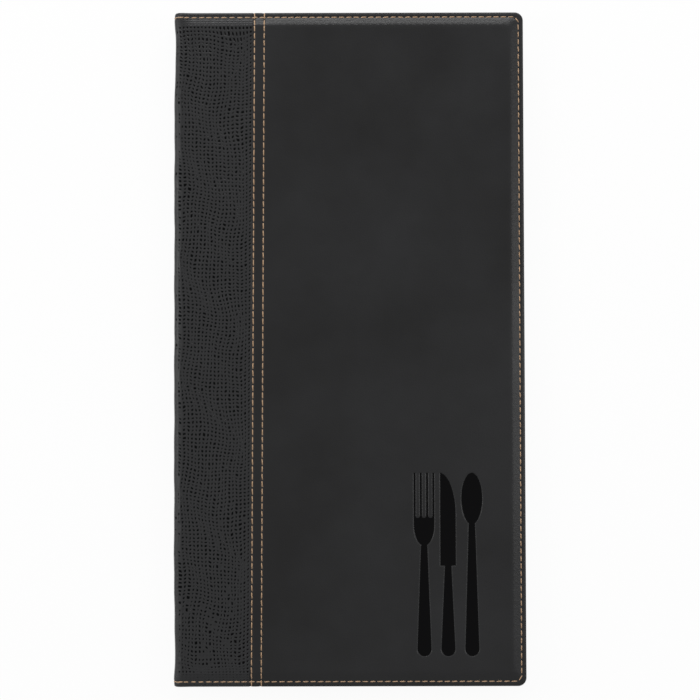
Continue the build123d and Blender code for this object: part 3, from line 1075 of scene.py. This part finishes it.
# One stitch, modelled once: a flattened thread that dips at both ends.
def makeStitch():
    deselectAll()
    bpy.ops.mesh.primitive_cylinder_add(vertices=6, radius=0.5, depth=1)
    thread = bpy.context.object
    thread.name = "stitch"
    for place in stitching["cuts"]:
        level = {"plane_co": (0, 0, place), "plane_no": (0, 0, 1)}
        editFaces(thread, everyFace(thread), lambda: bpy.ops.mesh.bisect(**level))
    points = getPoints(thread)
    along = points[:, 2]
    toEnd = 2 * np.abs(along)
    swell = 1 - stitching["thinning"] * toEnd**4
    arch = stitching["arch"] - stitching["dip"] * toEnd**3
    formed = np.column_stack(
        (
            along * stitching["length"],
            points[:, 1] * stitching["width"] * swell,
            points[:, 0] * stitching["height"] * swell + arch,
        )
    )
    turn = np.arctan2(points[:, 1], points[:, 0]) / (2 * math.pi)
    storeOnPoints(thread, "twist", along * stitching["twists"] + turn)
    setPoints(thread, formed)
    editFaces(thread, everyFace(thread), turnNormalsOut)
    return thread


# Matrix of a stitch at a flat point, its length along the flat step.
def stitchPlace(form, x, y, stepX, stepY, lift=0.0):
    length = math.hypot(stepX, stepY)
    reach = 0.6
    stepX, stepY = stepX / length * reach, stepY / length * reach
    flat = np.array(
        [
            (x, y, lift),
            (x + stepX, y + stepY, lift),
            (x - stepX, y - stepY, lift),
            (x - stepY, y + stepX, lift),
            (x + stepY, y - stepX, lift),
        ]
    )
    points = [Vector(point) for point in form(flat)]
    along = (points[1] - points[2]).normalized()
    up = along.cross(points[3] - points[4]).normalized()
    side = up.cross(along)
    place = Matrix((along, side, up)).transposed().to_4x4()
    place.translation = points[0]
    return place


slants = np.random.default_rng(stitching["seed"])
stitchModel = makeStitch()


# Copies the stitch to each place and joins the copies into one row.
def sewRow(name, places):
    copies = []
    for place in places:
        copy = stitchModel.copy()
        copy.data = stitchModel.data.copy()
        slant = slants.uniform(-1, 1) * stitching["slant"] + stitching["commonSlant"]
        copy.data.transform(place @ Matrix.Rotation(math.radians(slant), 4, "Z"))
        bpy.context.collection.objects.link(copy)
        copies.append(copy)
    deselectAll()
    for copy in copies:
        copy.select_set(True)
    bpy.context.view_layer.objects.active = copies[0]
    bpy.ops.object.join()
    row = bpy.context.object
    row.name = name
    row.data.name = name
    finishPiece(row, "contrast_thread", finishes["thread"])
    return row


# Forms flat points given in cover places, on the strip or on the panel.
def overCover(flat):
    onStrip = flat[:, 0] < lapX
    moved = flat + (creaseEnd - creaseX, 0, 0)
    return np.where(onStrip[:, None], ontoStrip(moved), ontoPanel(flat))


lining = {
    "cloth": 0.5,
    "inset": 1.2,
    "rimDepth": 3.4,  # of its face on the hem
    "faceDepth": 4.4,  # of its face over the board
    "rimStep": (3.2, 5.2),
    "bendRadius": (1.95, 2.8),  # of the gutter at the hem and between the hems
    "bendStep": (3.6, 5.3),
    "blendRadius": 2.9,
    "bendStart": math.radians(8),
    "spineStep": (4.3, 5.3),  # insets over which the spine lining rises on to its board
    "rowLines": (2.5, 3.2, 3.6, 3.9, 4.3, 4.6, 4.9, 5.1, 5.3, 6.2),  # grid lines, as insets
    "columnLines": (2.5, 3.2, 3.7, 4.2, 4.7, 5.2, 6.2),
    "gridStep": (6, 4, 5),  # between the band's slots, beyond them, and across
}
liningRimZ = bookTop - lining["rimDepth"]


# Matrix of a stitch on the lining, above the same hole as its twin outside.
def liningPlace(x, y, stepX, stepY):
    place = stitchPlace(overCover, x, y, stepX, stepY)
    turned = place @ Matrix.Rotation(math.pi, 4, "X")
    turned.translation = (place.translation.x, place.translation.y, liningRimZ)
    return turned


def edgePlaces():
    outer = []
    inner = []
    reach = 0.3
    liningStart = lowCorner("front_lining")[0] + 2
    for n in range(rimCount):
        distance = (n + 0.5) * rimPitch
        x, y = rimFlat(distance)
        nextX, nextY = rimFlat(distance + reach)
        lastX, lastY = rimFlat(distance - reach)
        step = (nextX - lastX, nextY - lastY)
        outer.append(stitchPlace(overCover, x, y, *step, stitching["edgeLift"]))
        if x > liningStart:
            inner.append(liningPlace(x, y, *step))
    return outer + inner


def lapPlaces(row):
    x = lapX + stitching["lapRows"][row]
    along = [lapRun * (n / (lapCount - 1) - 0.5) for n in range(lapCount)]
    for end in (-1, 1):
        along += [end * (headEdge - fromEnd) for fromEnd in stitching["lapEnds"]]
    return [stitchPlace(ontoPanel, x, y, 0, 1, stitching["lapLift"]) for y in along]


# The same stitches on the back cover.
def flipped(places):
    mirror = Matrix.Translation((0, 0, bookTop)) @ Matrix.Scale(-1, 4, (0, 0, 1))
    turn = Matrix.Scale(-1, 4, (0, 1, 0))
    return [mirror @ place @ turn for place in places]


for side, body in (("front", "front_cover"), ("back", "back_cover")):
    rows = {
        "edge_stitching": edgePlaces(),
        "lap_stitching_edge_row": lapPlaces(0),
        "lap_stitching_inner_row": lapPlaces(1),
    }
    for node, places in rows.items():
        if side == "back":
            places = flipped(places)
        pieceName = side + "".join(word.title() for word in node.split("_"))
        row = sewRow(pieceName, places)
        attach(row, body)
        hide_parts(f"{side}_{node}")


# Stitches of both hems across the spine and its creases, in a front and a back half.
def spineStitches():
    for side, pair in ((1, ("spine", "front_cover")), (-1, ("back_cover", "spine"))):
        places = []
        for run in stitching["spineRuns"]:
            for end in (-1, 1):
                y = end * (headEdge - stitching["inset"])
                places.append(stitchPlace(ontoStrip, side * run, y, 1, 0, stitching["edgeLift"]))
        name = "spineStitchesFront" if side > 0 else "spineStitchesBack"
        start, end = creaseEnds(side < 0)
        row = sewRow(name, places)
        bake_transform(row)
        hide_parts("spine_edge_stitching")


spineStitches()
bpy.data.objects.remove(stitchModel)
print("stitching sewn:", rimCount, "round a cover,", lapCount + 4, "in a lap row")


# Inside


foam = {
    "fromCrease": 1.5,
    "inset": 7.1,
    "top": 0.8,
    "bottom": 1.8,
    "stepFromLap": 9.3,
    "stepRun": 0.6,
    "stepDepth": 0.4,
    "crown": 0.08,  # how much lower it is at its edges
    "crownRun": 9.0,
    "edgeRound": 0.25,
    "gridStep": 6,
}


# Foam slab under a cover's skin, thinner where it runs beside the lapped edge.
def makeFoam(name, node, body):
    left = creaseX + foam["fromCrease"]
    right = foreEdge - foam["inset"]
    half = headEdge - foam["inset"]
    step = lapX + foam["stepFromLap"]
    columns = evenly(left, step - foam["stepRun"], foam["gridStep"])
    columns += evenly(step + foam["stepRun"], right, foam["gridStep"])
    slab = flatSheet(name, columns, evenly(-half, half, foam["gridStep"]))
    thicken(slab, foam["bottom"] - foam["top"])
    points = getPoints(slab)
    x, y, height = points.T
    thin = (height > topLevel) & (x < step)
    inward = np.minimum(right - x, half - np.abs(y))
    edgeDrop = foam["crown"] * (1 - smoothStep(inward, 0, foam["crownRun"]))
    points[:, 2] = bookTop - foam["top"] + height - np.where(thin, foam["stepDepth"], edgeDrop)
    points[:, 2] = np.maximum(points[:, 2], bookTop - foam["bottom"])
    setPoints(slab, points)
    soften = slab.modifiers.new("soften", "BEVEL")
    soften.width = foam["edgeRound"]
    soften.segments = 2
    soften.angle_limit = math.radians(60)
    applyModifier(slab, soften)
    if body == "back_cover":
        setPoints(slab, mirrorToBack(getPoints(slab)))
        flipNormals(slab)
    finishPiece(slab, "foam", finishes["foam"])
    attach(slab, body)
    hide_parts(node)


makeFoam("frontFoam", "front_foam", "front_cover")
makeFoam("backFoam", "back_foam", "back_cover")


# A cloth whose visible face is formed from a flat sheet, with its thickness behind that face.
def makeCloth(name, columns, rows, form, toBack=False, opening=None):
    sheet = flatSheet(name, columns, rows)
    if opening:
        chosen = opening(faceCentres(sheet))
        editFaces(sheet, chosen, lambda: bpy.ops.mesh.delete(type="FACE"))
    points = form(getPoints(sheet))
    setPoints(sheet, mirrorToBack(points) if toBack else points)
    if not toBack:
        flipNormals(sheet)
    solidify(sheet, lining["cloth"], -1)
    finishPiece(sheet, "lining_cloth", finishes["cloth"])
    return sheet


elastic = {
    "width": 3.0,
    "thickness": 0.8,
    "turnRadius": 1.0,
    "x": (lowCorner("elastic_band")[0], highCorner("elastic_band")[0]),
    "turnY": highCorner("left_sleeve_back")[1] + 4.5,
    "end": highCorner("elastic_band")[1],
    "gridStep": (4, 0.25, 2),  # on the straight, in the turns and on the tail
    "acrossLines": (-1, -0.9, -0.6, -0.2),  # shares of half the width
    "edgeThin": 0.35,
    "middleThin": 0.06,
}
elastic["slot"] = (elastic["turnY"] - 0.55, elastic["turnY"] + 1.45)


# Faces of the flat spine lining that the elastic band passes through.
def bandSlot(centres):
    along = np.abs(centres[:, 1])
    inSlot = (along > elastic["slot"][0]) & (along < elastic["slot"][1])
    return inSlot & (np.abs(centres[:, 0]) < 1)


def gutterRadius(fromEnd):
    low, high = lining["bendRadius"]
    return low + (high - low) * smoothStep(fromEnd, *lining["bendStep"])


# How the cover lining steps down at its spine edge: distance from the crease, share of the step.
gutterStep = ((0, 1), (0.5, 1), (0.8, 0.93), (0.95, 0.72), (0.95, 0.2), (1.1, 0.05), (1.45, 0))
gutterPitch = 0.7
gutterEnd = creaseX + gutterStep[-1][0]


def ontoLining(flat):
    x, y = flat.T[:2]
    inward = insetOf(x, y)
    formedX, formedY = ringPlace(x, y, inward)
    over = smoothStep(inward, *lining["rimStep"])
    faceZ = bookTop - lining["rimDepth"] - (lining["faceDepth"] - lining["rimDepth"]) * over
    index = (x - gutterEnd) / gutterPitch + len(gutterStep) - 1
    fromCrease, share = alongProfile(gutterStep, index)
    formedX = np.where(x < gutterEnd, creaseX + fromCrease, formedX)
    z = faceZ + (bendZ + gutterRadius(endInset(y)) - faceZ) * share
    return np.column_stack((formedX, formedY, z))


def ontoGutter(flat):
    angle, y = flat.T[:2]
    radius = gutterRadius(endInset(y))
    return np.column_stack((creaseX - radius * np.cos(angle), y, bendZ + radius * np.sin(angle)))


# Half profile of the spine lining from the middle out: distance before the spine's outer face,
# then height.
spineProfile = (
    (3.35, 0),
    (3.35, 1.6),
    (3.35, 3.1),
    (3.25, 3.55),
    (2.9, 3.85),
    (2.3, 3.95),
    (1.6, 3.98),
)


def ontoSpineLining(flat):
    x, y = flat.T[:2]
    edge = len(spineProfile) - 1
    overBoard = smoothStep(endInset(y), *lining["spineStep"])
    cosine = math.cos(lining["bendStart"])
    sine = math.sin(lining["bendStart"])
    hemX, midX = [creaseX - radius * cosine for radius in lining["bendRadius"]]
    hemRise, midRise = [bendZ - middleZ + radius * sine for radius in lining["bendRadius"]]
    fromFace, overRise = alongProfile(spineProfile, np.abs(x))
    atEdge = np.abs(x) > edge - 0.01
    overX = np.where(atEdge, midX, spineX + fromFace)
    overRise = np.where(atEdge, midRise, overRise)
    rise = overBoard * overRise + (1 - overBoard) * hemRise * np.abs(x) / edge
    return np.column_stack(
        (overBoard * overX + (1 - overBoard) * hemX, y, middleZ + np.sign(x) * rise)
    )


def liningRows():
    ends = [lining["inset"], *lining["rowLines"]]
    half = headEdge - ends[-1]
    start, stop = elastic["slot"]
    between, beyond = lining["gridStep"][:2]
    middle = evenly(0, start, between)[1:] + [stop] + evenly(stop, half, beyond)[1:]
    return bothSides(middle + [headEdge - end for end in reversed(ends[:-1])])


def makeLinings():
    rows = liningRows()
    columns = [gutterEnd - gutterPitch * n for n in range(len(gutterStep) - 1, 0, -1)]
    edges = [lining["inset"], *lining["columnLines"]]
    columns += evenly(gutterEnd, foreEdge - edges[-1], lining["gridStep"][2])
    columns += [foreEdge - edge for edge in reversed(edges[:-1])]
    for side, body in (("front", "front_cover"), ("back", "back_cover")):
        cloth = makeCloth(side + "Lining", columns, rows, ontoLining, side == "back")
        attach(cloth, body)
        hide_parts(side + "_lining")
    edge = len(spineProfile) - 1
    across = list(range(-edge, edge + 1))
    spine = makeCloth("spineLining", across, rows, ontoSpineLining, opening=bandSlot)
    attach(spine, "spine")
    for name, toBack, pair in (
        ("gutterFront", False, ("spine", "front_cover")),
        ("gutterBack", True, ("spine", "back_cover")),
    ):
        angles = evenly(lining["bendStart"], math.pi / 2, math.radians(10))
        gutter = makeCloth(name, angles, rows, ontoGutter, toBack)
        start = np.array((creaseX - lining["blendRadius"], 0, bendZ))
        end = np.array((creaseX, 0, bendZ + lining["blendRadius"]))
        if toBack:
            start, end = mirrorToBack(start), mirrorToBack(end)
        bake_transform(gutter)
    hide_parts("spine_lining")


# Forms flat points along the elastic band: straight, then through the lining's slot to its tail.
def ontoBand(flat):
    run, across, height = flat.T
    radius = elastic["turnRadius"]
    half = elastic["thickness"] / 2
    bandX = elastic["x"][1] - half
    tailX = elastic["x"][0] + half
    reach = elastic["turnY"] - radius
    quarter = math.pi / 2 * radius
    gap = bandX - tailX - 2 * radius
    along = np.abs(run)
    first = np.clip((along - reach) / radius, 0, math.pi / 2)
    second = np.clip((along - reach - quarter - gap) / radius, 0, math.pi / 2)
    x = bandX - radius * (1 - np.cos(first)) - radius * np.sin(second)
    x -= np.clip(along - reach - quarter, 0, gap)
    y = np.minimum(along, reach) + radius * np.sin(first) + radius * (1 - np.cos(second))
    y += np.maximum(along - reach - 2 * quarter - gap, 0)
    angle = first - second
    x += height * np.cos(angle)
    y += height * np.sin(angle)
    return np.column_stack((x, np.sign(run) * y, middleZ + across))


def makeElastic():
    radius = elastic["turnRadius"]
    reach = elastic["turnY"] - radius
    gap = elastic["x"][1] - elastic["x"][0] - elastic["thickness"] - 2 * radius
    turned = reach + math.pi * radius + gap
    total = turned + elastic["end"] - elastic["turnY"] - radius
    stops = (0, reach, turned, total)
    side = []
    for start, stop, step in zip(stops, stops[1:], elastic["gridStep"]):
        side += evenly(start, stop, step)[1:]
    half = elastic["width"] / 2
    across = [share * half for share in elastic["acrossLines"]]
    across += [-place for place in reversed(across)]
    band = flatSheet("elasticBand", bothSides(side), across)
    thicken(band, elastic["thickness"])
    flat = getPoints(band)
    flat[:, 2] += elastic["thickness"] / 2
    edge = np.abs(flat[:, 1]) / half
    thinEdge = elastic["edgeThin"] * np.clip((edge - 0.85) / 0.15, 0, 1)
    flat[:, 2] *= 1 - thinEdge - elastic["middleThin"] * (edge < 0.3)
    setPoints(band, ontoBand(flat))
    editFaces(band, everyFace(band), turnNormalsOut)
    finishPiece(band, "elastic_webbing", finishes["elastic"])
    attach(band, "spine")
    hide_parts("elastic_band")


# Half of the insert's film fold from the middle of its web: place across, height over the middle.
foldProfile = (
    (0.15, 0),
    (0.15, 0.7),
    (0.15, 1.35),
    (0.27, 1.63),
    (0.55, 1.8),
    (0.85, 1.8),
    (1.3, 1.8),
    (1.75, 1.8),
    (2.2, 1.8),
    (2.65, 1.8),
    (3.05, 1.8),
)
fold = {
    "film": 0.3,
    "x": lowCorner("insert_fold")[0],
    "end": highCorner("insert_fold")[1],
    "bendsFrom": 0.85,
    "bendsTo": 2.75,
}


def ontoFold(flat):
    index, y = flat.T[:2]
    place, rise = alongProfile(foldProfile, index)
    return np.column_stack((fold["x"] + place, y, middleZ + rise))


# The fold is in two halves, the second mirrored from the first.
def makeFold():
    rows = evenly(-fold["end"], fold["end"], 10)
    for name, leaf, side in (("leftFold", "left_leaf", 1), ("rightFold", "right_leaf", -1)):
        film = flatSheet(name, range(len(foldProfile)), rows)
        points = ontoFold(getPoints(film))
        setPoints(film, points if side > 0 else mirrorToBack(points))
        solidify(film, fold["film"], 0)
        finishPiece(film, "clear_film", finishes["film"])
        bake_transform(film)
        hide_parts("insert_fold")


makeLinings()
makeElastic()
makeFold()
print("inside made")


# Camera, light and floor

studio = {
    "distance": 1.2,
    "lean": 0.0452,  # sine of the camera's lean towards the foot
    "roll": 0.0023,
    "aim": (0.00038, -0.00143),
    "lens": 120.5,
    "clipEnd": 20,
    "floorSize": 8,
    "world": 0.26,
    "floorDrop": 0.0003,  # the back cover rests on its raised stitches
    "floorShade": 0.06,  # share of real shading left on the white floor
    "floorColour": (0.95, 0.95, 0.95),
    "softboxes": (  # place, size and power
        ("headSoftbox", (0, 1.4, 0.78), (1.8, 0.4), 21),
        ("leftSoftbox", (-1.3, 0.1, 0.7), (0.3, 1.3), 7),
        ("rightSoftbox", (1.2, 0.1, 0.85), (0.3, 1.3), 4.8),
    ),
}


def placeCamera():
    target = Vector((studio["aim"][0], studio["aim"][1], bookTop * mm))
    lean = studio["lean"]
    place = target + studio["distance"] * Vector((0, -lean, math.sqrt(1 - lean * lean)))
    forward = (target - place).normalized()
    right = forward.cross(Vector((0, 1, 0))).normalized()
    up = right.cross(forward)
    cosine = math.cos(studio["roll"])
    sine = math.sin(studio["roll"])
    right, up = right * cosine - up * sine, up * cosine + right * sine
    camera = bpy.data.objects.new("camera", bpy.data.cameras.new("camera"))
    camera.data.lens = studio["lens"]
    camera.data.clip_end = studio["clipEnd"]
    matrix = Matrix((right, up, -forward)).transposed().to_4x4()
    matrix.translation = place
    camera.matrix_world = matrix
    bpy.context.collection.objects.link(camera)
    bpy.context.scene.camera = camera


def addSoftbox(name, place, size, power):
    light = bpy.data.lights.new(name, "AREA")
    light.shape = "RECTANGLE"
    light.size, light.size_y = size
    light.energy = power
    box = bpy.data.objects.new(name, light)
    box.location = place
    box.rotation_euler = (-Vector(place)).to_track_quat("-Z", "Y").to_euler()
    bpy.context.collection.objects.link(box)


# 1 for rays from the camera, in mirrors and through film, 0 for light on the object.
def seenDirectly(tree):
    path = addNode(tree, "LightPath", {})
    through = path.outputs["Is Transmission Ray"]
    mirrored = path.outputs["Is Glossy Ray"]
    indirect = combined(tree, "MAXIMUM", through, mirrored)
    return combined(tree, "MAXIMUM", path.outputs["Is Camera Ray"], indirect)


def makeFloor():
    deselectAll()
    bpy.ops.mesh.primitive_plane_add(size=studio["floorSize"])
    floor = bpy.context.object
    floor.name = "floor"
    floor.location.z = -studio["floorDrop"]
    material, tree, shader = newMaterial("whiteFloor", studio["floorColour"], 0.9)
    glow = addNode(tree, "Emission", {}).outputs["Emission"]
    strength = combined(tree, "MULTIPLY", seenDirectly(tree), 1 - studio["floorShade"])
    both = addNode(tree, "MixShader", {0: strength, 1: shader.outputs["BSDF"], 2: glow})
    feed(tree, tree.nodes["Material Output"].inputs["Surface"], both.outputs["Shader"])
    floor.data.materials.append(material)


def lightWorld():
    world = bpy.data.worlds.new("studioWorld")
    world.use_nodes = True
    tree = world.node_tree
    background = tree.nodes["Background"]
    feed(tree, background.inputs["Color"], (1, 1, 1))
    strength = ranged(tree, seenDirectly(tree), studio["world"], 1, 0, 1)
    feed(tree, background.inputs["Strength"], strength)
    bpy.context.scene.world = world


placeCamera()
makeFloor()
lightWorld()
for softbox in studio["softboxes"]:
    addSoftbox(*softbox)
bpy.context.scene.view_settings.view_transform = "Standard"

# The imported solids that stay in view
for name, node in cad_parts.items():
    for word, finish in (("board", "board"), ("card", "card"), ("sleeve", "film")):
        if word in name:
            node.data.materials.clear()
            node.data.materials.append(finishes[finish])

print("scene ready")
